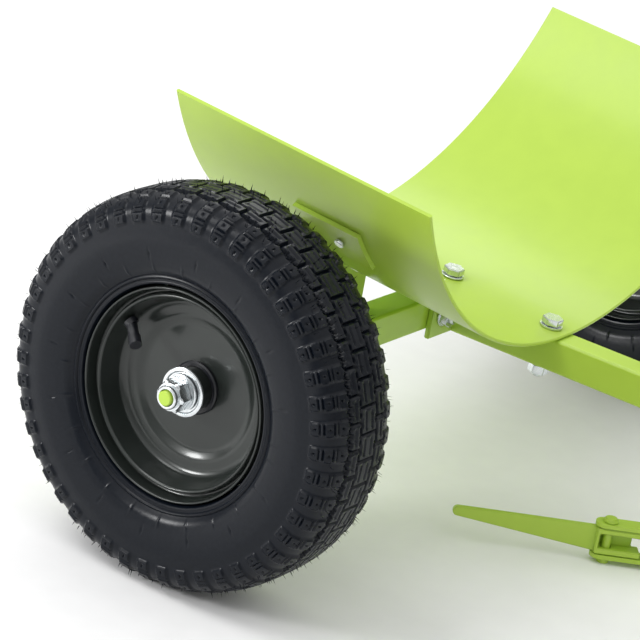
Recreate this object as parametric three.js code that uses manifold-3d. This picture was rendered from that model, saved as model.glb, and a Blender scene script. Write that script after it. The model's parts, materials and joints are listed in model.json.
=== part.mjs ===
// Two-wheeled log and garden cart. Millimetres, +Z up, +X forward along the tongue, +Y to the left.
// The cart stands level on its two wheels and on the swivel foot of the stand under its tongue.
import * as THREE from 'three';
import { mergeVertices } from 'three/addons/utils/BufferGeometryUtils.js';
import Module from 'manifold-3d';

const wasm = await Module();
wasm.setup();

// ---------------------------------------------------------------- driving dimensions
const gap = 0.3;                 // clearance between pieces that touch
const segments = 36;             // facets around a wheel
const boltFacets = 16;           // facets around a bolt, pin or washer

// wheels
const track = 730;               // between the wheels' centre planes
const tyreRadius = 165;
const tyreWidth = 92;
const beadRadius = 81;           // where the tyre grips the rim
const rimEdgeRadius = 88.5;
const rimHalfWidth = 36.5;
const rimSheet = 2.5;
const hubRadius = 18;
const hubBore = 13;
const hubOuterEnd = 18.7;        // from the wheel's centre plane, away from the cart
const hubInnerEnd = 36;          // from the wheel's centre plane, towards the cart
const bearingWidth = 9;
const spindleRadius = 6.3;
const spindleEnd = 44.5;         // from the wheel's centre plane
const nutWidth = 24;             // across the flats of the axle nut
const valveAngle = THREE.MathUtils.degToRad(32);
const valveBend = 33;            // degrees, outwards

// axle
const axleTube = 30;             // outside of the square tube
const tubeWall = 2.5;
const tubeCorner = 3;
const plugLength = 34;
const innerWasher = 3;

// cradle: one sheet rolled to an arc
const cradleRadius = 348;        // outside of the roll
const cradleHalfAngle = THREE.MathUtils.degToRad(60);
const cradleLength = 258;
const cradleSheet = 3;
const cradlePitch = THREE.MathUtils.degToRad(5.2);
const cradleSpacer = 3.4;        // lifts the cradle off the axle's front edge
const cradleRear = 129.5;        // from the axle's centre back to the rear edge
const cradleFacets = 20;
const cradleBoltX = { rear: 3, front: 111 };
const boltRadius = 5;            // M10
const boltHeadWidth = 17;
const boltHeadHeight = 6.4;
const boltNutHeight = 9;
const washerRadius = 10.5;
const washerThickness = 1.8;

// saddles between the axle and the sides of the cradle
const saddleThickness = 5;
const saddleX = -8;
const saddleInner = 133;         // from the centre plane to the near end
const saddleFoot = 180;          // from the centre plane to the far end, on the axle
const saddleOuter = 248;         // the same, at the top
const saddleShoulder = 250;      // where the sloping edge ends
const padAngles = [39.5, 48];    // degrees round the roll from its bottom
const padEnds = [-19, 48];        // along the cradle
const padThickness = 4;
const padScrewX = 25;
const padScrewAngle = 44.4;      // degrees round the roll

// tongue
const tongueSize = 30;
const tongueLength = 850;        // from the flange to the front end
const flangeThickness = 5;
const flangeEar = 36;            // beyond each side of the tongue
const flangeHeight = 33;
const flangeBoltEar = 18;        // bolt centre beyond the tongue's side

// stand
const standX = 256;              // ahead of the axle
const standYaw = THREE.MathUtils.degToRad(37.5);
const postRadius = 8;
const sleeveWall = 2.6;
const sleeveAbove = 30;          // above the tongue
const sleeveBelow = 4;
const postTop = 218;
const collarRadius = 12;
const collarHeight = 5;
const footDrop = 5;              // the leg pins stand this far below the lower strap
const strapThickness = 4;
const strapWidth = 17;
const strapTip = 13;             // beyond the leg pin
const pinSpacing = 43.5;         // from the post to each leg pin
const legPinRadius = 4;
const legHeight = 24;
const legPlay = 0.8;             // between the leg and each strap
const yokeWidth = 16;
const yokeWall = 5;
const yokeEnd = 11;              // beyond the pin, where the tang is welded on
const yokeReach = 30;            // back from the pin, towards the post
const webReach = 23;             // how far the yoke's rear web runs towards the post
const tangLength = 128;
const tangThickness = 5;
const tangTip = 9;               // height of the tang's rounded tip

// hitch at the front of the tongue
const hitchStrap = 5;
const hitchWidth = 40;
const hitchOverlap = 70;
const hitchReach = 50;           // from the tongue's end to the pin
const hitchPinRadius = 6.5;
const hitchPinHead = 13;
const hitchPinDrop = 22;         // below the lower strap

// ---------------------------------------------------------------- worked out from them
const axleZ = tyreRadius;
const axleTop = axleZ + axleTube / 2;
const wheelY = track / 2;
const tubeEnd = wheelY - hubInnerEnd - innerWasher - 2 * gap;
const flangeX = axleTube / 2 + gap;
const tongueX = flangeX + flangeThickness + gap;
// the cradle's underside rests on the spacer on the axle, and its front edge rests on the tongue
const cradleUnderAxle = axleTop + cradleSpacer + Math.tan(cradlePitch) * axleTube / 2;
const cradleFront = cradleLength - cradleRear;
const tongueTop = cradleUnderAxle - Math.sin(cradlePitch) * cradleFront - gap;
const tongueZ = tongueTop - tongueSize / 2;
const tongueBottom = tongueTop - tongueSize;
const tongueFront = tongueX + tongueLength;
const strapLowZ = footDrop;
const legZ = strapLowZ + strapThickness + legPlay;
const strapHighZ = legZ + legHeight + legPlay;
const strapTopZ = strapHighZ + strapThickness;
const hitchX = tongueFront + hitchReach;

// ---------------------------------------------------------------- materials
function material(color, roughness, metalness) {
  return new THREE.MeshStandardMaterial({ color, roughness, metalness });
}

const lime = material(0xa6c83c, 0.35, 0.1);
const zinc = material(0xc9d2d6, 0.3, 0.9);
const rubber = material(0x17191f, 0.75, 0);
const rimPaint = material(0x2b302c, 0.3, 0.3);
const bearingSteel = material(0x8d9499, 0.25, 0.9);
const blackPlastic = material(0x101114, 0.6, 0);

// ---------------------------------------------------------------- solids
function toSolid(geometry) {
  const bare = geometry.index ? geometry.toNonIndexed() : geometry.clone();
  bare.deleteAttribute('normal');
  bare.deleteAttribute('uv');
  const welded = mergeVertices(bare, 1e-4);
  return new wasm.Manifold(new wasm.Mesh({
    numProp: 3,
    vertProperties: new Float32Array(welded.attributes.position.array),
    triVerts: new Uint32Array(welded.index.array),
  }));
}

function toGeometry(solid) {
  const mesh = solid.getMesh();
  const geometry = new THREE.BufferGeometry();
  geometry.setAttribute('position', new THREE.BufferAttribute(mesh.vertProperties, 3));
  geometry.setIndex(new THREE.BufferAttribute(mesh.triVerts, 1));
  geometry.computeVertexNormals();
  return geometry;
}

function node(parent, name, shape, look) {
  const geometry = shape.getMesh ? toGeometry(shape) : shape;
  const mesh = new THREE.Mesh(geometry, look);
  mesh.name = name;
  parent.add(mesh);
  return mesh;
}

function box(x, y, z, cx = 0, cy = 0, cz = 0) {
  return toSolid(new THREE.BoxGeometry(x, y, z).translate(cx, cy, cz));
}

function rod(radius, length, facets = boltFacets) {
  return new THREE.CylinderGeometry(radius, radius, length, facets);
}

// a rod along Z from z0 to z1, with any number of facets
function uprightRod(radius, z0, z1, facets = boltFacets) {
  return toSolid(rod(radius, z1 - z0, facets).rotateX(Math.PI / 2).translate(0, 0, (z0 + z1) / 2));
}

function hexagon(width, z0, z1) {
  return uprightRod(width / Math.sqrt(3), z0, z1, 6);
}

function ringOutline(outer, inner) {
  const shape = new THREE.Shape().absarc(0, 0, outer, 0, 2 * Math.PI);
  shape.holes.push(new THREE.Path().absarc(0, 0, inner, 0, 2 * Math.PI, true));
  return shape;
}

// a flat ring along Z from z0 to z1
function uprightRing(outer, inner, z0, z1, facets = boltFacets) {
  const ring = new THREE.ExtrudeGeometry(ringOutline(outer, inner), {
    depth: z1 - z0, bevelEnabled: false, curveSegments: facets / 2,
  });
  return ring.translate(0, 0, z0);
}

// a ring around Y between two distances from the wheel's centre plane
function sideRing(outer, inner, y0, y1, facets = 20) {
  return lathe([[inner, y0], [outer, y0], [outer, y1], [inner, y1]], facets);
}

// a closed section of [radius, along] points turned round Y, facing outwards whichever way it is drawn
function lathe(profile, facets = segments) {
  const points = profile.map(([radius, along]) => new THREE.Vector2(radius, along));
  if (THREE.ShapeUtils.area(points) < 0) points.reverse();
  return new THREE.LatheGeometry([...points, points[0]], facets);
}

function roundedSquare(size, corner) {
  const half = size / 2;
  const shape = new THREE.Shape();
  shape.absarc(half - corner, -half + corner, corner, -Math.PI / 2, 0);
  shape.absarc(half - corner, half - corner, corner, 0, Math.PI / 2);
  shape.absarc(-half + corner, half - corner, corner, Math.PI / 2, Math.PI);
  shape.absarc(-half + corner, -half + corner, corner, Math.PI, 1.5 * Math.PI);
  return shape;
}

// a square tube along Z, centred on the origin
function squareTube(size, length) {
  const outline = roundedSquare(size, tubeCorner);
  const inside = size - 2 * tubeWall;
  outline.holes.push(new THREE.Path(roundedSquare(inside, tubeCorner - 2).getPoints(3).reverse()));
  const tube = new THREE.ExtrudeGeometry(outline, { depth: length, bevelEnabled: false, curveSegments: 3 });
  return tube.translate(0, 0, -length / 2);
}

// sheet metal in section: a line of points thickened to one side
function thicken(line, thickness) {
  const normals = line.slice(1).map((point, i) => {
    const [dx, dy] = [point[0] - line[i][0], point[1] - line[i][1]];
    const length = Math.hypot(dx, dy);
    return [-dy / length, dx / length];
  });
  const offset = line.map((point, i) => {
    const before = normals[Math.max(i - 1, 0)];
    const after = normals[Math.min(i, normals.length - 1)];
    const mitre = 1 + before[0] * after[0] + before[1] * after[1];
    return [
      point[0] + thickness * (before[0] + after[0]) / mitre,
      point[1] + thickness * (before[1] + after[1]) / mitre,
    ];
  });
  return [...line, ...offset.reverse()];
}

// ---------------------------------------------------------------- wheels
// Each wheel is built round its own centre, with +Y pointing away from the cart.
function tyreProfile() {
  const half = tyreWidth / 2;
  const crown = tyreRadius;
  const shoulder = tyreRadius - 9;
  const wallRadius = (shoulder + beadRadius) / 2 + 6;
  const outer = [
    [beadRadius, 26], [beadRadius + 3, 29.5], [beadRadius + 10, 31], [beadRadius + 16, 36],
    [beadRadius + 26, half - 3], [wallRadius, half],
    [shoulder - 12, half - 4], [shoulder, half - 14], [crown - 2.5, 22], [crown, 0],
  ];
  const mirrored = outer.slice(0, -1).reverse().map(([radius, along]) => [radius, -along]);
  const innerSkin = [[beadRadius + 8, -26], [wallRadius, 8 - half], [crown - 13, -20],
    [crown - 10, 0], [crown - 13, 20], [wallRadius, half - 8], [beadRadius + 8, 26]];
  return [...outer, ...mirrored, ...innerSkin];
}

function rimProfile() {
  const boreRadius = hubRadius + gap;
  const discFace = gap / 2 + rimSheet;
  const line = [
    [rimEdgeRadius, rimHalfWidth - 2.5], [rimEdgeRadius - 3, rimHalfWidth],
    [beadRadius - 2, rimHalfWidth - 3.5], [beadRadius - 5.5, rimHalfWidth - 9],
    [beadRadius - 7, 13], [58, 10], [54, discFace],
    [boreRadius, discFace],
  ];
  return thicken(line, rimSheet);
}

function lockNut() {
  const nut = hexagon(nutWidth, 0, 12).add(uprightRod(nutWidth * 0.41, 12, 16.5, 24));
  return nut.subtract(uprightRod(spindleRadius + gap, -1, 18));
}

// The valve grows out of the rim's well towards the hub and bends outwards. Its root is at the origin.
function valveStem() {
  const stem = uprightRod(4.4, 0, 16).add(uprightRod(5.2, 15, 24));
  const bent = stem.rotate([-valveBend, 0, 0]).translate([0, 0, 2.5]);
  return uprightRod(6, 0, 4.5).add(bent);
}

function buildWheel(cart, side, name) {
  const centre = new THREE.Group();
  centre.position.set(0, side * wheelY, axleZ);
  centre.rotation.z = side > 0 ? 0 : Math.PI;
  cart.add(centre);

  const bead = lathe(tyreProfile());
  node(centre, `tyre_${name}`, bead, rubber);
  node(centre, `rim_outer_${name}`, lathe(rimProfile()), rimPaint);
  node(centre, `rim_inner_${name}`, lathe(rimProfile()).rotateX(Math.PI), rimPaint);
  node(centre, `hub_sleeve_${name}`, sideRing(hubRadius, hubBore, -hubInnerEnd, hubOuterEnd, 24), rimPaint);
  const bearing = (y0) => sideRing(hubBore - gap, spindleRadius + gap, y0, y0 + bearingWidth);
  node(centre, `bearing_outer_${name}`, bearing(hubOuterEnd - bearingWidth), bearingSteel);
  node(centre, `bearing_inner_${name}`, bearing(-hubInnerEnd), bearingSteel);
  const dust = sideRing(hubRadius + 4, hubRadius + gap, rimSheet + gap + gap / 2, rimSheet + 4, 24);
  node(centre, `dust_ring_${name}`, dust, blackPlastic);
  const valve = toGeometry(valveStem()).rotateY(-Math.PI / 2)
    .translate(beadRadius - 7.2, 20, 0).rotateY(-valveAngle);
  node(centre, `valve_stem_${name}`, valve, blackPlastic);

  let stack = hubOuterEnd + gap;
  const bore = spindleRadius + gap;
  node(centre, `hub_washer_${name}`, sideRing(20.5, bore, stack, stack + 3, 24), zinc);
  stack += 3 + gap;
  node(centre, `plain_washer_${name}`, sideRing(15, bore, stack, stack + 3.5), zinc);
  stack += 3.5 + gap;
  const nut = toGeometry(lockNut()).rotateX(-Math.PI / 2).translate(0, stack, 0);
  node(centre, `lock_nut_${name}`, nut, zinc);
  const inner = -hubInnerEnd - gap;
  node(centre, `inner_washer_${name}`, sideRing(hubBore, bore, inner - innerWasher, inner), zinc);

  const spindleStart = tubeEnd - plugLength - 10 - wheelY;
  node(centre, `spindle_${name}`, rod(spindleRadius, spindleEnd - spindleStart)
    .translate(0, (spindleEnd + spindleStart) / 2, 0), lime);
  const plug = squarePlug();
  node(centre, `axle_plug_${name}`, toGeometry(plug).translate(0, tubeEnd - wheelY, 0), lime);
}

// the block that holds the spindle in the end of the axle tube; its outer face is at y = 0
function squarePlug() {
  const size = axleTube - 2 * tubeWall - 2 * gap;
  const bore = toSolid(rod(spindleRadius + gap, plugLength + 2).translate(0, -plugLength / 2, 0));
  return box(size, plugLength, size, 0, -plugLength / 2, 0).subtract(bore);
}

// ---------------------------------------------------------------- axle and cradle
function tilted(solid, x) {
  // from the cradle's own frame, where z = 0 is its underside, to the cart's
  return solid.rotate([0, THREE.MathUtils.radToDeg(cradlePitch), 0])
    .translate([0, 0, cradleUnderAxle])
    .translate([x * Math.cos(cradlePitch), 0, -x * Math.sin(cradlePitch)]);
}

function boltHole(radius) {
  return uprightRod(radius + gap, -80, 40);
}

function axle() {
  let tube = toSolid(squareTube(axleTube, 2 * tubeEnd).rotateX(Math.PI / 2).translate(0, 0, axleZ));
  tube = tube.subtract(tilted(boltHole(boltRadius), cradleBoltX.rear));
  for (const side of [-1, 1]) {
    const hole = toSolid(rod(boltRadius + gap, axleTube + 10).rotateZ(Math.PI / 2));
    tube = tube.subtract(hole.translate([0, side * flangeBoltY(), flangeBoltZ()]));
  }
  return tube;
}

function flangeBoltY() {
  return tongueSize / 2 + flangeBoltEar;
}

function flangeBoltZ() {
  return axleZ - 2;
}

// a band of the roll in section, between two angles from its bottom
function rollBand(outer, inner, from, to) {
  const start = from - Math.PI / 2;
  const end = to - Math.PI / 2;
  const shape = new THREE.Shape();
  shape.absarc(0, cradleRadius, outer, start, end, false);
  shape.absarc(0, cradleRadius, inner, end, start, true);
  return shape;
}

// such a band swept along the cradle from x0 to x1, still in the cradle's own frame
function rolledPlate(outline, x0, x1, facets) {
  const plate = new THREE.ExtrudeGeometry(outline, {
    depth: x1 - x0, bevelEnabled: false, curveSegments: facets,
  });
  // the outline's x becomes Y, its y becomes Z and its depth becomes X
  const basis = new THREE.Matrix4().makeBasis(
    new THREE.Vector3(0, 1, 0), new THREE.Vector3(0, 0, 1), new THREE.Vector3(1, 0, 0));
  return toSolid(plate.applyMatrix4(basis)).translate([x0, 0, 0]);
}

function cradle() {
  const outline = rollBand(cradleRadius, cradleRadius - cradleSheet, -cradleHalfAngle, cradleHalfAngle);
  let sheet = rolledPlate(outline, -cradleRear, cradleFront, cradleFacets);
  for (const x of Object.values(cradleBoltX)) {
    sheet = sheet.subtract(boltHole(boltRadius).translate([x, 0, 0]));
  }
  return tilted(sheet, 0);
}

// a plate that stands on the axle and leans outwards, with a pad at its top that follows the sheet
function saddle(side) {
  const foot = axleTop + gap;
  const above = foot + cradleRadius / 2;
  const outline = new THREE.Shape([[saddleInner, foot], [saddleFoot, foot], [saddleOuter, saddleShoulder],
    [saddleOuter, above], [saddleInner, above]].map(([y, z]) => new THREE.Vector2(side * y, z)));
  const half = saddleThickness / 2;
  const plate = rolledPlate(outline, saddleX - half, saddleX + half, 1);
  const clear = cradleRadius + gap;
  const roll = toSolid(rod(clear, 6 * axleTube, 6 * cradleFacets).rotateZ(Math.PI / 2)
    .translate(0, 0, cradleRadius));
  const [from, to] = padAngles.map((angle) => side * THREE.MathUtils.degToRad(angle));
  const band = rollBand(clear + padThickness, clear, Math.min(from, to), Math.max(from, to));
  const pad = rolledPlate(band, ...padEnds, 4);
  const screwHole = padScrewPlace(uprightRod(3 + gap, -30, 30), side);
  return plate.subtract(tilted(roll, 0)).add(tilted(pad.subtract(screwHole), 0));
}

// puts a solid that points down -Z on the pad, at its screw, in the cradle's own frame
function padScrewPlace(solid, side) {
  return solid.translate([padScrewX, 0, -cradleRadius]).rotate([side * padScrewAngle, 0, 0])
    .translate([0, 0, cradleRadius]);
}

function padScrew(side) {
  const seat = -gap - padThickness - gap;
  const screw = uprightRod(3, seat - 1, -2 * gap).add(hexagon(8, seat - 3.5, seat));
  return tilted(padScrewPlace(screw, side), 0);
}

// the wedge that fills the slit between the axle and the pitched cradle
function spacer() {
  const height = cradleUnderAxle - axleTop - gap;
  const block = box(axleTube - 4, 34, 2 * height, 0, 0, axleTop + gap + height);
  const above = box(4 * axleTube, 4 * axleTube, axleTube, 0, 0, axleTube / 2 - gap);
  return block.subtract(tilted(above, 0)).subtract(tilted(boltHole(boltRadius), cradleBoltX.rear));
}

function cradleBolt(length) {
  const seat = cradleSheet + 2 * gap + washerThickness + gap;
  return hexagon(boltHeadWidth, seat, seat + boltHeadHeight).add(uprightRod(boltRadius, -length, seat + 1));
}

function cradleWasher() {
  const seat = cradleSheet + 2 * gap;
  return toSolid(uprightRing(washerRadius, boltRadius + gap, seat, seat + washerThickness));
}

function cradleNut(depth) {
  const nut = hexagon(boltHeadWidth, -depth - boltNutHeight, -depth);
  return nut.subtract(uprightRod(boltRadius + gap, -depth - boltNutHeight - 1, -depth + 1));
}

function buildCradle(cart) {
  node(cart, 'axle_tube', axle(), lime);
  node(cart, 'cradle_sheet', cradle(), lime);
  for (const [name, side] of [['left', 1], ['right', -1]]) {
    node(cart, `saddle_${name}`, saddle(side), lime);
    node(cart, `saddle_screw_${name}`, padScrew(side), zinc);
  }
  node(cart, 'cradle_spacer', spacer(), zinc);
  const room = 1.4;              // the nut is square to the tilted bolt
  const places = [
    ['rear', cradleBoltX.rear, axleZ - axleTube / 2],
    ['front', cradleBoltX.front, tongueBottom],
  ];
  for (const [name, x, underside] of places) {
    const depth = cradleUnderAxle - x * Math.tan(cradlePitch) - underside + room;
    node(cart, `cradle_bolt_${name}`, tilted(cradleBolt(depth + boltNutHeight + 3), x), zinc);
    node(cart, `cradle_washer_${name}`, tilted(cradleWasher(), x), zinc);
    node(cart, `cradle_nut_${name}`, tilted(cradleNut(depth), x), zinc);
  }
}

// ---------------------------------------------------------------- tongue
function alongX(geometry) {
  return geometry.rotateY(Math.PI / 2);
}

function tongue() {
  const centre = tongueX + tongueLength / 2;
  let tube = toSolid(alongX(squareTube(tongueSize, tongueLength)).translate(centre, 0, tongueZ));
  tube = tube.subtract(tilted(boltHole(boltRadius), cradleBoltX.front));
  return tube.subtract(uprightRod(sleeveRadius() + gap, 0, 2 * tongueTop, 32).translate([standX, 0, 0]));
}

function flange() {
  const width = tongueSize + 2 * flangeEar;
  let plate = box(flangeThickness, width, flangeHeight,
    flangeX + flangeThickness / 2, 0, tongueBottom + flangeHeight / 2);
  for (const side of [-1, 1]) {
    const hole = toSolid(rod(boltRadius + gap, 40).rotateZ(Math.PI / 2));
    plate = plate.subtract(hole.translate([flangeX, side * flangeBoltY(), flangeBoltZ()]));
  }
  return plate;
}

function flangeBolt() {
  // head behind the axle, thread towards the front
  const back = -axleTube / 2 - gap;
  const front = tongueX + boltNutHeight + 4;
  const head = toSolid(hexRodX(boltHeadWidth, back - boltHeadHeight, back));
  const shank = toSolid(rod(boltRadius, front - back + 1)
    .rotateZ(Math.PI / 2).translate((front + back - 1) / 2, 0, 0));
  return head.add(shank);
}

function hexRodX(width, x0, x1) {
  return new THREE.CylinderGeometry(width / Math.sqrt(3), width / Math.sqrt(3), x1 - x0, 6)
    .rotateZ(Math.PI / 2).translate((x0 + x1) / 2, 0, 0);
}

function flangeNut() {
  const nut = toSolid(hexRodX(boltHeadWidth, tongueX, tongueX + boltNutHeight));
  const collar = toSolid(rod(washerRadius, washerThickness).rotateZ(Math.PI / 2)
    .translate(tongueX + washerThickness / 2, 0, 0));
  return nut.add(collar).subtract(toSolid(rod(boltRadius + gap, 80).rotateZ(Math.PI / 2)));
}

function buildTongue(cart) {
  node(cart, 'tongue_tube', tongue(), lime);
  node(cart, 'tongue_flange', flange(), lime);
  for (const [name, side] of [['left', 1], ['right', -1]]) {
    const place = [0, side * flangeBoltY(), flangeBoltZ()];
    node(cart, `flange_bolt_${name}`, flangeBolt().translate(place), zinc);
    node(cart, `flange_nut_${name}`, flangeNut().translate(place), zinc);
  }
}

// ---------------------------------------------------------------- hitch
function hitchPlate(z0) {
  const back = tongueFront - hitchOverlap;
  const outline = new THREE.Shape();
  outline.absarc(hitchX, 0, hitchWidth / 2, -Math.PI / 2, Math.PI / 2);
  outline.lineTo(back, hitchWidth / 2);
  outline.lineTo(back, -hitchWidth / 2);
  outline.holes.push(new THREE.Path().absarc(hitchX, 0, hitchPinRadius + gap, 0, 2 * Math.PI, true));
  return new THREE.ExtrudeGeometry(outline, { depth: hitchStrap, bevelEnabled: false, curveSegments: 10 })
    .translate(0, 0, z0);
}

function hitchPin() {
  const seat = tongueTop + 2 * gap + hitchStrap;
  const end = tongueBottom - gap - hitchStrap - hitchPinDrop;
  const head = uprightRod(hitchPinHead, seat, seat + 7, 24);
  const tip = uprightRod(hitchPinRadius - 2, end, end + 4, 24);
  return head.add(uprightRod(hitchPinRadius, end + 3, seat + 1, 24)).add(tip).translate([hitchX, 0, 0]);
}

function buildHitch(cart) {
  node(cart, 'hitch_strap_upper', hitchPlate(tongueTop + gap), lime);
  node(cart, 'hitch_strap_lower', hitchPlate(tongueBottom - gap - hitchStrap), lime);
  node(cart, 'hitch_pin', hitchPin(), zinc);
}

// ---------------------------------------------------------------- stand
function sleeveRadius() {
  return postRadius + gap + sleeveWall;
}

function stripWithPins(z0) {
  const shape = new THREE.Shape();
  const end = pinSpacing + strapTip - strapWidth / 2;
  shape.absarc(end, 0, strapWidth / 2, -Math.PI / 2, Math.PI / 2);
  shape.absarc(-end, 0, strapWidth / 2, Math.PI / 2, 1.5 * Math.PI);
  for (const x of [-pinSpacing, pinSpacing]) {
    shape.holes.push(new THREE.Path().absarc(x, 0, legPinRadius + gap, 0, 2 * Math.PI, true));
  }
  shape.holes.push(new THREE.Path().absarc(0, 0, postRadius + gap - 2, 0, 2 * Math.PI, true));
  return new THREE.ExtrudeGeometry(shape, { depth: strapThickness, bevelEnabled: false, curveSegments: 8 })
    .translate(0, 0, z0);
}

function post() {
  const neck = postRadius - 2;
  const collarBottom = strapTopZ + gap;
  const collarTop = strapTopZ + gap + collarHeight;
  const profile = [
    [0, 2.2], [neck + 1.5, 2.2], [neck + 1.5, footDrop - gap], [neck, footDrop - gap],
    [neck, collarBottom], [collarRadius, collarBottom], [collarRadius, collarTop],
    [postRadius, collarTop], [postRadius, postTop - 2], [postRadius - 2, postTop], [0, postTop],
  ];
  const points = profile.map(([radius, along]) => new THREE.Vector2(radius, along));
  return new THREE.LatheGeometry(points, 24).rotateX(Math.PI / 2);
}

// A leg with its pin at the origin. The tang points towards -X, the open yoke towards +X.
function leg() {
  const middle = (yokeReach - yokeEnd) / 2;
  const length = yokeReach + yokeEnd;
  let yoke = box(length, yokeWidth, legHeight, middle, 0, legZ + legHeight / 2);
  const window = box(length, yokeWidth, legHeight - 2 * yokeWall, middle + 3, -3, legZ + legHeight / 2);
  const passage = box(length, 2 * yokeWidth, legHeight - 2 * yokeWall,
    webReach + length / 2, 0, legZ + legHeight / 2);
  yoke = yoke.subtract(window).subtract(passage);
  const side = new THREE.Shape();
  const root = 1 - yokeEnd;
  const tip = -yokeEnd - tangLength + tangTip / 2;
  const top = legZ + legHeight;
  side.moveTo(root, legZ);
  side.lineTo(root, top);
  side.absarc(tip, top - tangTip / 2, tangTip / 2, Math.PI / 2, 1.5 * Math.PI);
  const tang = new THREE.ExtrudeGeometry(side, {
    depth: tangThickness, bevelEnabled: false, curveSegments: 8,
  }).rotateX(Math.PI / 2).translate(0, tangThickness / 2, 0);
  return yoke.add(toSolid(tang)).subtract(uprightRod(legPinRadius + gap, 0, 80));
}

function legPin() {
  const head = uprightRod(7, strapTopZ + gap, strapTopZ + gap + 2, 20).add(
    uprightRod(5.5, strapTopZ + gap + 1.9, strapTopZ + gap + 3.6, 20));
  const foot = uprightRod(legPinRadius + 1.5, 0, footDrop - gap);
  return head.add(uprightRod(legPinRadius, 1, strapTopZ + gap + 0.5)).add(foot);
}

function buildStand(cart) {
  const hub = new THREE.Group();
  hub.position.x = standX;
  cart.add(hub);
  const sleeveFoot = tongueBottom - sleeveBelow;
  const sleeve = uprightRing(sleeveRadius(), postRadius + gap, sleeveFoot, tongueTop + sleeveAbove, 24);
  const screwZ = tongueTop + sleeveAbove / 2 + 3;
  const screwHole = toSolid(rod(3 + gap, 40).rotateZ(Math.PI / 2).translate(20 + postRadius, 0, screwZ));
  node(hub, 'stand_sleeve', toSolid(sleeve).subtract(screwHole), lime);
  const screw = toSolid(rod(3, 14).rotateZ(Math.PI / 2).translate(postRadius + 2 * gap + 7, 0, screwZ))
    .add(toSolid(hexRodX(13, postRadius + 10, postRadius + 16)).translate([0, 0, screwZ]));
  node(hub, 'stand_set_screw', screw, zinc);
  node(hub, 'stand_post', post(), lime);

  const base = new THREE.Group();
  base.rotation.z = standYaw;
  hub.add(base);
  node(base, 'base_strap_lower', stripWithPins(strapLowZ), lime);
  node(base, 'base_strap_upper', stripWithPins(strapHighZ), lime);
  const hubFoot = strapLowZ + strapThickness + gap;
  const hubSleeve = uprightRing(postRadius + 3, postRadius - 2 + gap, hubFoot, strapHighZ - gap);
  node(base, 'base_sleeve', hubSleeve, lime);
  for (const [name, turn, x] of [['rear', 0, -pinSpacing], ['front', Math.PI, pinSpacing]]) {
    const place = new THREE.Group();
    place.position.x = x;
    place.rotation.z = turn;
    base.add(place);
    node(place, `leg_${name}`, leg(), lime);
    node(place, `leg_pin_${name}`, legPin(), lime);
  }
}

// ---------------------------------------------------------------- the cart
const cart = new THREE.Group();
buildCradle(cart);
buildTongue(cart);
buildHitch(cart);
buildStand(cart);
buildWheel(cart, -1, 'right');
buildWheel(cart, 1, 'left');

// the origin is on the floor, under the middle of the whole cart
cart.updateMatrixWorld(true);
const bounds = new THREE.Box3().setFromObject(cart, true);
const middle = bounds.getCenter(new THREE.Vector3());
cart.position.set(-middle.x, -middle.y, -bounds.min.z);

export default cart;
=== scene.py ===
"""The looks of a two-wheeled log cart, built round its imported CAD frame. Metres, +X forward, +Z up."""
import json
import math
import random

import bmesh
import bpy
from mathutils import Matrix, Vector


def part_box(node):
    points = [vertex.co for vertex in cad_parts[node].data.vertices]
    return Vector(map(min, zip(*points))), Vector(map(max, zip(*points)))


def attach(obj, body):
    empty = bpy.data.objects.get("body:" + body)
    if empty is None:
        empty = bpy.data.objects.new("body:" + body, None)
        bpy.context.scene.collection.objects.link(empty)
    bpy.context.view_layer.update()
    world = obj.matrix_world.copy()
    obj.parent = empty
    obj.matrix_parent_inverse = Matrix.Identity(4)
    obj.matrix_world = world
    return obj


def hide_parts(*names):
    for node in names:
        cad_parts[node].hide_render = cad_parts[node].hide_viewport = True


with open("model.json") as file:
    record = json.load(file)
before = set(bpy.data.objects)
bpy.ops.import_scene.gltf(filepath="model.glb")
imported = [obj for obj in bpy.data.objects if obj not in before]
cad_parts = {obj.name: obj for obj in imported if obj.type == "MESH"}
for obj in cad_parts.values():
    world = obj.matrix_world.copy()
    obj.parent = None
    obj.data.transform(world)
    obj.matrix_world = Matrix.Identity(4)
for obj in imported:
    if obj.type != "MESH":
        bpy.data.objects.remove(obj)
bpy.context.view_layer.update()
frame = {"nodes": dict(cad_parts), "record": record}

# ---------------------------------------------------------------- driving dimensions
MM = 0.001
VIEW_AZIMUTH = math.radians(31.97)
VIEW_ELEVATION = math.radians(20.69)
VIEW_ROLL = math.radians(10.29)
VIEW_DISTANCE = 2.5745
VIEW_AIM = Vector((-0.1124, -0.0225, 0.1071))   # from the floor under the axle's middle
LENS = 156.7

CRADLE_HALF_ANGLE = math.radians(60)
CRADLE_PITCH = math.radians(5.2)
CRADLE_SHEET = 3.0 * MM
CRADLE_STEPS = 96

# the tyre, in mm
TYRE_CROWN = 165.0           # radius at the middle line
TYRE_WALL = 135.0            # radius at the widest place
TYRE_HALF_WIDTH = 46.0
TYRE_POWER = 3.2             # how square its shoulders are
WALL_DROP = 36.0             # from the widest place in towards the bead
WALL_TUCK = 9.5              # and how far the wall draws in over it
WALL_TURN = 0.93
CROWN_STEPS = 400
WALL_STEPS = 60
BEAD_POINTS = [(98.2, 37.6), (97.4, 38.4), (96.2, 38.6), (95.2, 38.0), (94.6, 36.6), (93.4, 36.4),
               (92.4, 36.8), (91.2, 36.4), (90.2, 34.6), (89.6, 32.0), (88.1, 28.0), (87.9, 22.0)]
TYRE_LINING = [(87.9, 21.0), (118.0, 37.0), (150.0, 24.0), (152.0, -24.0), (118.0, -37.0), (87.9, -21.0)]
TYRE_PITCHES = 47            # shoulder lugs round the tyre
PITCH_LENGTH = 22.0
PITCH_STEPS = 18             # columns of faces in each
ROW_STEP = 1.15              # across the tread
GROOVE_DEPTH = 3.0
LUG_HEIGHT = 1.9
HAIR_COUNT = 460
HAIR_ROOT = 0.6

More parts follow.
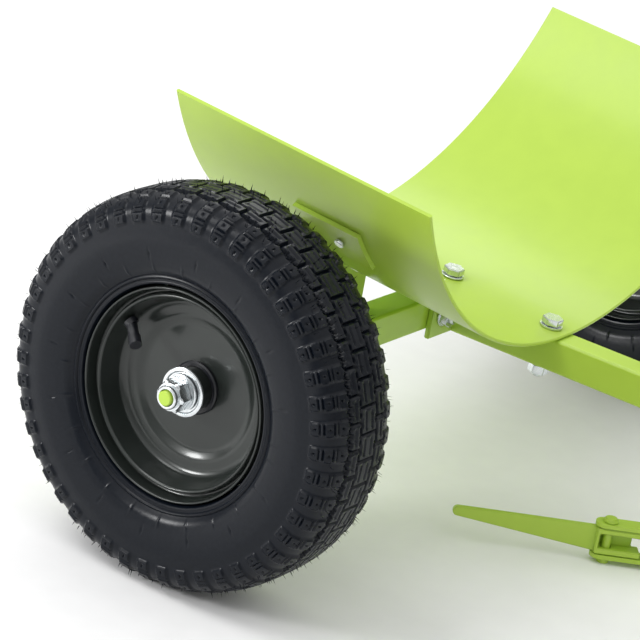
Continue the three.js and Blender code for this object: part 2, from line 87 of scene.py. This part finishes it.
# light
SIDE_LIGHT = 0.24            # strength of the sky near the horizon
TOP_LIGHT = 1.08             # and overhead
KEY_POWER = 17.0
LEFT_POWER = 20.0
REAR_POWER = 8.0

NUT_FACETS = 72
ROUND = 96                   # facets round a wheel part
EDGE_RADIUS = 0.8 * MM
RANDOM_SEED = 7


# ---------------------------------------------------------------- materials
def noisy_material(name, dark, light, roughness, metallic=0.0, noise_scale=40.0, bump=0.02, coat=0.0,
                   shine=0.5):
    """A surface whose colour and roughness wander between two values with fine noise."""
    made = bpy.data.materials.new(name)
    made.use_nodes = True
    nodes, links = made.node_tree.nodes, made.node_tree.links
    shader = nodes["Principled BSDF"]
    coords = nodes.new("ShaderNodeTexCoord")
    noise = nodes.new("ShaderNodeTexNoise")
    noise.inputs["Scale"].default_value = noise_scale
    noise.inputs["Detail"].default_value = 4.0
    links.new(coords.outputs["Object"], noise.inputs["Vector"])
    colours = nodes.new("ShaderNodeValToRGB")
    colours.color_ramp.elements[0].position = 0.3
    colours.color_ramp.elements[0].color = (*dark, 1.0)
    colours.color_ramp.elements[1].position = 0.7
    colours.color_ramp.elements[1].color = (*light, 1.0)
    links.new(noise.outputs["Fac"], colours.inputs["Fac"])
    links.new(colours.outputs["Color"], shader.inputs["Base Color"])
    spread = nodes.new("ShaderNodeMapRange")
    spread.inputs["To Min"].default_value = roughness * 0.85
    spread.inputs["To Max"].default_value = roughness * 1.15
    links.new(noise.outputs["Fac"], spread.inputs["Value"])
    links.new(spread.outputs["Result"], shader.inputs["Roughness"])
    relief = nodes.new("ShaderNodeBump")
    relief.inputs["Strength"].default_value = bump
    relief.inputs["Distance"].default_value = MM
    links.new(noise.outputs["Fac"], relief.inputs["Height"])
    links.new(relief.outputs["Normal"], shader.inputs["Normal"])
    shader.inputs["Metallic"].default_value = metallic
    shader.inputs["Specular IOR Level"].default_value = shine
    shader.inputs["Coat Weight"].default_value = coat
    shader.inputs["Coat Roughness"].default_value = 0.12
    return made


MATERIALS = {
    "lime_paint": noisy_material("lime_paint", (0.41, 0.595, 0.055), (0.43, 0.62, 0.058), 0.36, coat=0.12),
    "zinc": noisy_material("zinc", (0.62, 0.66, 0.68), (0.80, 0.83, 0.84), 0.24,
                           metallic=0.95, noise_scale=260.0, bump=0.05),
    "rim_paint": noisy_material("rim_paint", (0.018, 0.022, 0.020), (0.022, 0.027, 0.024), 0.3,
                                metallic=0.2, noise_scale=30.0, bump=0.01, coat=0.3, shine=0.4),
    "bearing_steel": noisy_material("bearing_steel", (0.4, 0.42, 0.43), (0.5, 0.52, 0.53), 0.25,
                                    metallic=0.95, noise_scale=200.0),
    "tyre_rubber": noisy_material("tyre_rubber", (0.002, 0.0035, 0.007), (0.004, 0.006, 0.010), 0.3,
                                  noise_scale=300.0, bump=0.08, shine=0.22),
    "valve_rubber": noisy_material("valve_rubber", (0.006, 0.007, 0.010), (0.010, 0.011, 0.015), 0.4,
                                   noise_scale=200.0, bump=0.05),
}
SLOT_OF_NODE = {entry["node"]: entry["material_slot"] for entry in frame["record"]["subparts"]}
BODIES = frame["record"]["behaviour"]["bodies"]
BODY_OF_NODE = {node: body for body, nodes in BODIES.items() for node in nodes}


# ---------------------------------------------------------------- pieces
def piece(name, mesh, body, slot, stands_for=()):
    """Names a finished bmesh, gives it its material, and hangs it on its body."""
    data = bpy.data.meshes.new(name)
    bmesh.ops.recalc_face_normals(mesh, faces=mesh.faces)
    mesh.to_mesh(data)
    mesh.free()
    data.shade_smooth()
    data.set_sharp_from_angle(angle=math.radians(38))
    made = bpy.data.objects.new(name, data)
    bpy.context.scene.collection.objects.link(made)
    data.materials.append(MATERIALS[slot])
    even = made.modifiers.new("even_normals", "WEIGHTED_NORMAL")
    even.keep_sharp = True
    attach(made, body)
    if stands_for:
        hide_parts(*stands_for)
    return made


def round_edges(mesh, radius, steps=2, angle=35):
    """Rounds every edge that is sharper than the angle."""
    sharp = [edge for edge in mesh.edges if edge.is_manifold and edge.calc_face_angle() > math.radians(angle)]
    bmesh.ops.bevel(mesh, geom=sharp, offset=radius, segments=steps, affect="EDGES", clamp_overlap=True)


def refined(node, radius=EDGE_RADIUS):
    """The CAD node's own shape with its edges rounded."""
    mesh = bmesh.new()
    mesh.from_mesh(frame["nodes"][node].data)
    bmesh.ops.remove_doubles(mesh, verts=mesh.verts, dist=0.01 * MM)
    bmesh.ops.dissolve_limit(mesh, angle_limit=math.radians(1), verts=mesh.verts, edges=mesh.edges)
    round_edges(mesh, radius)
    return piece(f"{node}_look", mesh, BODY_OF_NODE[node], SLOT_OF_NODE[node], [node])


def rows_to_mesh(rows, closed_rows):
    """Joins equal rings of points into one skin; closed_rows joins the last ring to the first."""
    mesh = bmesh.new()
    rings = [[mesh.verts.new(point) for point in row] for row in rows]
    count = len(rows[0])
    pairs = list(zip(rings, rings[1:])) + ([(rings[-1], rings[0])] if closed_rows else [])
    for first, second in pairs:
        for i in range(count):
            j = (i + 1) % count
            mesh.faces.new((first[i], first[j], second[j], second[i]))
    return mesh


def on_wheel(centre, spread, out, angle):
    """The point at a radius and a distance along the axle, both in mm, at an angle round the wheel."""
    return centre + Vector((spread * math.cos(angle), out, spread * math.sin(angle))) * MM


def wheel_ring(centre, spread, out, facets):
    """A ring of such points at even steps."""
    return [on_wheel(centre, spread, out, 2 * math.pi * i / facets) for i in range(facets)]


def lathe(name, profile, centre, side, body, slot, stands_for=(), facets=ROUND, radius=0.0):
    """Turns a closed section of (radius, distance outwards) in mm round the wheel's axle."""
    rows = [wheel_ring(centre, spread, side * along, facets) for spread, along in profile]
    mesh = rows_to_mesh(rows, True)
    if radius:
        round_edges(mesh, radius)
    return piece(name, mesh, body, slot, stands_for)


# ---------------------------------------------------------------- the tyre
def soft_step(value, edge, width=0.7):
    """0 below the edge and 1 above it."""
    return min(1.0, max(0.0, (value - edge) / width + 0.5))


def band(value, low, high, width=0.7):
    return soft_step(value, low, width) * (1.0 - soft_step(value, high, width))


def zigzag(turn):
    """A triangle wave between -1 and 1, once per pitch."""
    return 4.0 * abs(turn % 1.0 - 0.5) - 1.0


def tread_depth(across, turn):
    """How far the tread lies below the tyre's outline, in mm.

    across is the distance from the tyre's middle line and turn counts pitches round the tyre."""
    s = abs(across)
    along = (turn % 1.0) * PITCH_LENGTH
    half = ((turn + 0.5) % 1.0) * PITCH_LENGTH
    middle_row = band(s, 9.4 + 0.9 * zigzag(turn), 11.4 + 0.9 * zigzag(turn))
    blocks = band(along, 0.0, 2.0) * (1.0 - soft_step(s, 10.0))
    sipe = 0.5 * band(half, 10.0, 11.4) * (1.0 - soft_step(s, 4.0))
    bars = 0.5 * band(s, 3.6, 4.8) * band(along, 4.6, 19.4)
    side_blocks = band(half, 0.0, 2.0) * band(s, 11.0, 22.5)
    side_sipe = 0.5 * max(band(along, 9.8, 11.0) * band(s, 13.6, 20.0),
                          band(s, 16.2, 17.4) * band(half, 5.0, 19.0))
    toothed = band(s, 21.6 + 1.3 * zigzag(3 * turn), 24.2 + 1.3 * zigzag(3 * turn))
    tread = max(middle_row, blocks, sipe, bars, side_blocks, side_sipe, toothed) * GROOVE_DEPTH
    if s < 24.0:
        return tread
    lug = band(along, 5.0, 17.0) * (1.0 - soft_step(s, 59.0))
    bars_across = max(band(s, low, low + 1.5) for low in (34.0, 37.2, 46.2, 49.4))
    bar_groove = 0.7 * bars_across * band(along, 4.0, 16.2)
    pinhole = 0.9 * max(band(math.hypot(s - spot, along - 11.0), -1.0, 1.0) for spot in (30.0, 42.0, 54.5))
    fade = 1.0 - soft_step(s, 66.0, 12.0)
    shoulder = LUG_HEIGHT * (1.0 - lug * (1.0 - max(bar_groove, pinhole))) * fade
    return max(shoulder, toothed * GROOVE_DEPTH * (s < 30.0))


def crown_radius(share):
    """The tyre's radius at a share of its half width, from the middle line to the widest place."""
    return TYRE_WALL + (TYRE_CROWN - TYRE_WALL) * (1.0 - share ** TYRE_POWER) ** (1.0 / TYRE_POWER)


def tyre_outline():
    """Points (radius, distance outwards, distance across) in mm from the middle line to one bead."""
    points = []
    for step in range(CROWN_STEPS):
        share = math.sin(step / (CROWN_STEPS - 1) * math.pi / 2)
        points.append((crown_radius(share), TYRE_HALF_WIDTH * share))
    for step in range(1, WALL_STEPS):
        angle = step / (WALL_STEPS - 1) * math.pi / 2 * WALL_TURN
        points.append((TYRE_WALL - WALL_DROP * math.sin(angle),
                       TYRE_HALF_WIDTH - WALL_TUCK * (1.0 - math.cos(angle))))
    points += BEAD_POINTS
    length, measured = 0.0, []
    for i, (radius, out) in enumerate(points):
        if i:
            length += math.hypot(radius - points[i - 1][0], out - points[i - 1][1])
        measured.append((radius, out, length))
    return measured


def spaced_rows(outline):
    """The outline's points at even steps over the tread and wider steps down the wall."""
    rows, wanted = [], 0.0
    for radius, out, length in outline:
        if length >= wanted or radius < 99.0:
            rows.append((radius, out, length))
            wanted = length + (ROW_STEP if length < 66.0 else 3.0)
    return rows


def wall_relief(radius, turn):
    """Moulded rings, ticks and vent pinholes on the side wall, in mm outwards."""
    rings = 0.5 * (band(radius, 103.2, 104.2) + band(radius, 107.6, 108.6))
    ticks = 0.6 * band((turn * 0.5) % 1.0, 0.0, 0.05, 0.02) * band(radius, 103.0, 108.0)
    holes = -1.2 * band((turn / 3.0 + 0.3) % 1.0, 0.0, 0.03, 0.02) * band(radius, 115.0, 117.0)
    return rings + ticks + holes


def build_tyre(side_name, side, centre):
    outline = spaced_rows(tyre_outline())
    mirrored = [(radius, -out, -length) for radius, out, length in reversed(outline[1:])]
    skin = mirrored + outline
    columns = TYRE_PITCHES * PITCH_STEPS
    rows = []
    for i, (radius, out, across) in enumerate(skin):
        before, after = skin[max(i - 1, 0)], skin[min(i + 1, len(skin) - 1)]
        run, rise = after[1] - before[1], after[0] - before[0]
        size = math.hypot(run, rise) or 1.0
        normal_radius, normal_out = run / size, -rise / size
        ring = []
        for column in range(columns):
            turn = column / PITCH_STEPS
            depth = tread_depth(across, turn) if abs(across) < 78.0 else -wall_relief(radius, turn)
            if radius < 99.0:
                depth = 0.0
            spread = radius - depth * normal_radius
            level = out - depth * normal_out
            angle = 2 * math.pi * column / columns
            ring.append(on_wheel(centre, spread, side * level, angle))
        rows.append(ring)
    rows += [wheel_ring(centre, radius, side * out, columns) for radius, out in TYRE_LINING]
    mesh = rows_to_mesh(rows, True)
    piece(f"tyre_tread_{side_name}", mesh, f"wheel_{side_name}", "tyre_rubber", [f"tyre_{side_name}"])
    build_hairs(side_name, centre)


def build_hairs(side_name, centre):
    """The thin rubber hairs that the mould's vents leave standing on the tread."""
    chance = random.Random(RANDOM_SEED)
    mesh = bmesh.new()
    for count in range(HAIR_COUNT):
        angle = 2 * math.pi * (count + chance.uniform(-0.3, 0.3)) / HAIR_COUNT
        out = chance.choice((-38.0, -31.0, -17.0, -4.0, 4.0, 17.0, 31.0, 38.0))
        radius = crown_radius(abs(out) / TYRE_HALF_WIDTH) - 1.0
        length = chance.uniform(3.6, 6.0)
        lean = Vector((chance.uniform(-1, 1), out / TYRE_HALF_WIDTH, chance.uniform(-1, 1))) * 0.9
        root = Vector((radius * math.cos(angle), out, radius * math.sin(angle)))
        tip = root + Vector((math.cos(angle), 0, math.sin(angle))) * length + lean
        if centre.z + tip.z * MM < 0.0:      # the floor presses these flat
            continue
        corners = [Vector((HAIR_ROOT * math.cos(t), HAIR_ROOT * math.sin(t), 0))
                   for t in (0.0, 2 * math.pi / 3, 4 * math.pi / 3)]
        base = [mesh.verts.new(centre + (root + corner) * MM) for corner in corners]
        point = mesh.verts.new(centre + tip * MM)
        mesh.faces.new(base)
        for i in range(3):
            mesh.faces.new((base[i], base[(i + 1) % 3], point))
    piece(f"tyre_hairs_{side_name}", mesh, f"wheel_{side_name}", "tyre_rubber")


# ---------------------------------------------------------------- the rest of the wheel
def rounded_line(points, radius):
    """The line with each inner corner replaced by a small arc of four points."""
    result = [points[0]]
    for before, corner, after in zip(points, points[1:], points[2:]):
        a, b, c = Vector(before), Vector(corner), Vector(after)
        reach = min(radius, (a - b).length * 0.45, (c - b).length * 0.45)
        start = b + (a - b).normalized() * reach
        end = b + (c - b).normalized() * reach
        for t in (0.0, 0.33, 0.67, 1.0):
            result.append(tuple(start.lerp(b, t).lerp(b.lerp(end, t), t)))
    return result + [points[-1]]


def thicken(line, thickness):
    """A closed section: the line, and the same line set back to its left."""
    back = []
    for i, point in enumerate(line):
        before, after = line[max(i - 1, 0)], line[min(i + 1, len(line) - 1)]
        along = (Vector(after) - Vector(before)).normalized()
        back.append((point[0] - along.y * thickness, point[1] + along.x * thickness))
    return line + back[::-1]


def build_rim(side_name, side, centre):
    line = rounded_line([(88.4, 33.2), (88.2, 36.0), (87.0, 36.5), (86.0, 35.0), (85.2, 25.0), (82.2, 24.0),
                         (81.2, 29.0), (79.6, 30.0), (78.0, 28.4), (75.6, 19.0), (73.4, 9.6), (69.0, 6.8),
                         (60.0, 6.2), (56.0, 4.2), (52.0, 2.7), (18.4, 2.7)], 2.5)
    section = thicken(line, 2.2)
    body = f"wheel_{side_name}"
    lathe(f"rim_dish_{side_name}", section, centre, side, body, "rim_paint", [f"rim_outer_{side_name}"])
    lathe(f"rim_back_{side_name}", section, centre, -side, body, "rim_paint", [f"rim_inner_{side_name}"])


def stack_place(node, centre, side):
    """How far a node's two ends stand out from the wheel's middle plane, in mm."""
    low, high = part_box(node)
    ends = sorted((side * (low.y - centre.y) / MM, side * (high.y - centre.y) / MM))
    return ends[0], ends[1]


def build_hub(side_name, side, centre):
    shaft = (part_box(f"spindle_{side_name}")[1].z - centre.z) / MM + 0.3
    start, end = stack_place(f"hub_washer_{side_name}", centre, side)
    dish = [(shaft, start), (18.5, start), (20.4, start + 0.8), (20.4, end - 0.6), (19.6, end),
            (17.6, end), (16.6, end - 1.1), (shaft, end - 1.1)]
    lathe(f"hub_cap_{side_name}", dish, centre, side, "chassis", "zinc", [f"hub_washer_{side_name}"])
    start, end = stack_place(f"plain_washer_{side_name}", centre, side)
    middle = (start + end) / 2
    ring = [(shaft, start), (14.8, start), (15, start + 0.5), (15, middle - 0.3),
            (14.2, middle), (14.2, end), (shaft, end)]
    lathe(f"spacer_washer_{side_name}", ring, centre, side, "chassis", "zinc", [f"plain_washer_{side_name}"])
    start, end = stack_place(f"lock_nut_{side_name}", centre, side)
    build_lock_nut(side_name, side, centre, start, end, shaft)
    start, end = stack_place(f"dust_ring_{side_name}", centre, side)
    ring = [(18.3, start), (22.0, start), (22.0, end - 1.0), (20.8, end), (18.3, end)]
    lathe(f"dust_seal_{side_name}", ring, centre, side, f"wheel_{side_name}", "valve_rubber",
          [f"dust_ring_{side_name}"], radius=0.4 * MM)
    start, end = stack_place(f"spindle_{side_name}", centre, side)
    stub = [(0.05, start), (shaft - 0.3, start), (shaft - 0.3, end - 0.8), (shaft - 1.1, end), (0.05, end)]
    lathe(f"spindle_look_{side_name}", stub, centre, side, "chassis", "lime_paint", [f"spindle_{side_name}"])


def build_lock_nut(side_name, side, centre, start, end, bore):
    """A hexagon with chamfered corners and the round collar that holds its locking ring."""
    hex_end, across = start + 12.0, 12.0
    profile = [(bore, start), (across, start), (14.2, start + 1.0), (14.2, hex_end - 1.2), (11.6, hex_end),
               (9.9, hex_end), (9.9, end - 1.4), (9.2, end - 0.3), (8.4, end),
               (bore + 0.6, end - 0.3), (bore, end - 1.6)]
    rows = []
    for spread, along in profile:
        row = []
        for i in range(NUT_FACETS):
            angle = 2 * math.pi * i / NUT_FACETS
            flat = across / math.cos((angle % (math.pi / 3)) - math.pi / 6)
            row.append(on_wheel(centre, min(spread, flat), side * along, angle))
        rows.append(row)
    mesh = rows_to_mesh(rows, True)
    piece(f"nut_look_{side_name}", mesh, "chassis", "zinc", [f"lock_nut_{side_name}"])


def build_wheel(side_name, side):
    low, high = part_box(f"tyre_{side_name}")
    centre = (low + high) / 2
    build_tyre(side_name, side, centre)
    build_rim(side_name, side, centre)
    build_hub(side_name, side, centre)
    refined(f"valve_stem_{side_name}", 0.7 * MM)


# ---------------------------------------------------------------- the cradle
def build_cradle():
    """The rolled sheet with fine facets, rounded long edges and square lips."""
    low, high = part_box("cradle_sheet")
    roll = high.y / math.sin(CRADLE_HALF_ANGLE)
    along = Vector((math.cos(CRADLE_PITCH), 0.0, -math.sin(CRADLE_PITCH)))
    upward = Vector((math.sin(CRADLE_PITCH), 0.0, math.cos(CRADLE_PITCH)))
    rise = roll - (roll - CRADLE_SHEET) * math.cos(CRADLE_HALF_ANGLE)
    front = Vector((high.x - rise * upward.x, 0.0, low.z))
    length = (front.x - low.x) / along.x
    edge = CRADLE_SHEET * 0.3
    inner = roll - CRADLE_SHEET
    section = [(edge, roll), (0.0, roll - edge), (0.0, inner + edge), (edge, inner),
               (length - edge, inner), (length, inner + edge), (length, roll - edge), (length - edge, roll)]
    rows = []
    for step in range(CRADLE_STEPS + 1):
        turn = CRADLE_HALF_ANGLE * (2 * step / CRADLE_STEPS - 1)
        rows.append([front - along * back + Vector((0.0, spread * math.sin(turn), 0.0))
                     + upward * (roll - spread * math.cos(turn)) for back, spread in section])
    mesh = rows_to_mesh(rows, False)
    mesh.verts.ensure_lookup_table()
    mesh.faces.new(mesh.verts[:len(section)])
    mesh.faces.new(mesh.verts[-len(section):])
    piece("cradle_sheet_look", mesh, "chassis", "lime_paint", ["cradle_sheet"])


REPLACED_BY_HAND = ("tyre_", "rim_", "hub_washer_", "plain_washer_", "lock_nut_", "dust_ring_", "spindle_",
                    "valve_stem_", "cradle_sheet")


def build_plain_pieces():
    """Every other CAD node keeps its shape, with rounded edges."""
    for node in sorted(frame["nodes"]):
        if not node.startswith(REPLACED_BY_HAND):
            refined(node)


# ---------------------------------------------------------------- floor, lights and camera
def build_floor():
    mesh = bmesh.new()
    for x, y in ((-12, -12), (12, -12), (12, 12), (-12, 12)):
        mesh.verts.new((x, y, 0.0))
    mesh.faces.new(mesh.verts)
    data = bpy.data.meshes.new("floor")
    mesh.to_mesh(data)
    mesh.free()
    floor = bpy.data.objects.new("floor", data)
    bpy.context.scene.collection.objects.link(floor)
    data.materials.append(noisy_material("floor_pale", (0.91, 0.91, 0.91), (0.93, 0.93, 0.93), 0.9, bump=0.0))


def area_light(name, place, aim, size, power):
    light = bpy.data.lights.new(name, "AREA")
    light.shape = "DISK"
    light.size = size
    light.energy = power
    made = bpy.data.objects.new(name, light)
    made.location = place
    made.rotation_euler = (Vector(aim) - Vector(place)).to_track_quat("-Z", "Y").to_euler()
    bpy.context.scene.collection.objects.link(made)


def build_world():
    """Light that is strong from overhead and weak from the sides, like a studio's soft ceiling."""
    world = bpy.data.worlds.new("studio")
    bpy.context.scene.world = world
    world.use_nodes = True
    nodes, links = world.node_tree.nodes, world.node_tree.links
    coords = nodes.new("ShaderNodeTexCoord")
    split = nodes.new("ShaderNodeSeparateXYZ")
    links.new(coords.outputs["Generated"], split.inputs["Vector"])
    ramp = nodes.new("ShaderNodeMapRange")
    ramp.inputs["From Min"].default_value = 0.05
    ramp.inputs["From Max"].default_value = 0.75
    ramp.inputs["To Min"].default_value = SIDE_LIGHT
    ramp.inputs["To Max"].default_value = TOP_LIGHT
    links.new(split.outputs["Z"], ramp.inputs["Value"])
    nodes["Background"].inputs["Color"].default_value = (1.0, 1.0, 1.0, 1.0)
    links.new(ramp.outputs["Result"], nodes["Background"].inputs["Strength"])


def build_lights(axle):
    build_world()
    area_light("key", axle + Vector((-0.9, -1.3, 2.3)), axle + Vector((0.0, 0.0, 0.2)), 1.3, KEY_POWER)
    near_hub = axle + Vector((0.0, -0.36, 0.17))
    area_light("left", axle + Vector((-1.25, -1.75, 0.72)), near_hub, 0.45, LEFT_POWER)
    area_light("rear", axle + Vector((-1.2, 1.8, 2.0)), axle, 1.2, REAR_POWER)


def build_camera(axle):
    sin_az, cos_az = math.sin(VIEW_AZIMUTH), math.cos(VIEW_AZIMUTH)
    sin_el, cos_el = math.sin(VIEW_ELEVATION), math.cos(VIEW_ELEVATION)
    forward = Vector((-sin_az * cos_el, cos_az * cos_el, -sin_el))
    level_right = Vector((cos_az, sin_az, 0.0))
    level_up = level_right.cross(forward)
    right = level_right * math.cos(VIEW_ROLL) + level_up * math.sin(VIEW_ROLL)
    up = level_up * math.cos(VIEW_ROLL) - level_right * math.sin(VIEW_ROLL)
    camera = bpy.data.objects.new("camera", bpy.data.cameras.new("camera"))
    camera.data.lens = LENS
    turned = Matrix((right, up, -forward)).transposed().to_4x4()
    camera.matrix_world = Matrix.Translation(axle + VIEW_AIM - forward * VIEW_DISTANCE) @ turned
    bpy.context.scene.collection.objects.link(camera)
    bpy.context.scene.camera = camera


def floor_under_axle():
    low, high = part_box("axle_tube")
    return Vector(((low.x + high.x) / 2, (low.y + high.y) / 2, 0.0))


# ---------------------------------------------------------------- the whole scene
for wheel_name, wheel_side in (("right", -1), ("left", 1)):
    build_wheel(wheel_name, wheel_side)
build_cradle()
build_plain_pieces()
build_floor()
build_lights(floor_under_axle())
build_camera(floor_under_axle())
bpy.context.scene.view_settings.view_transform = "Standard"
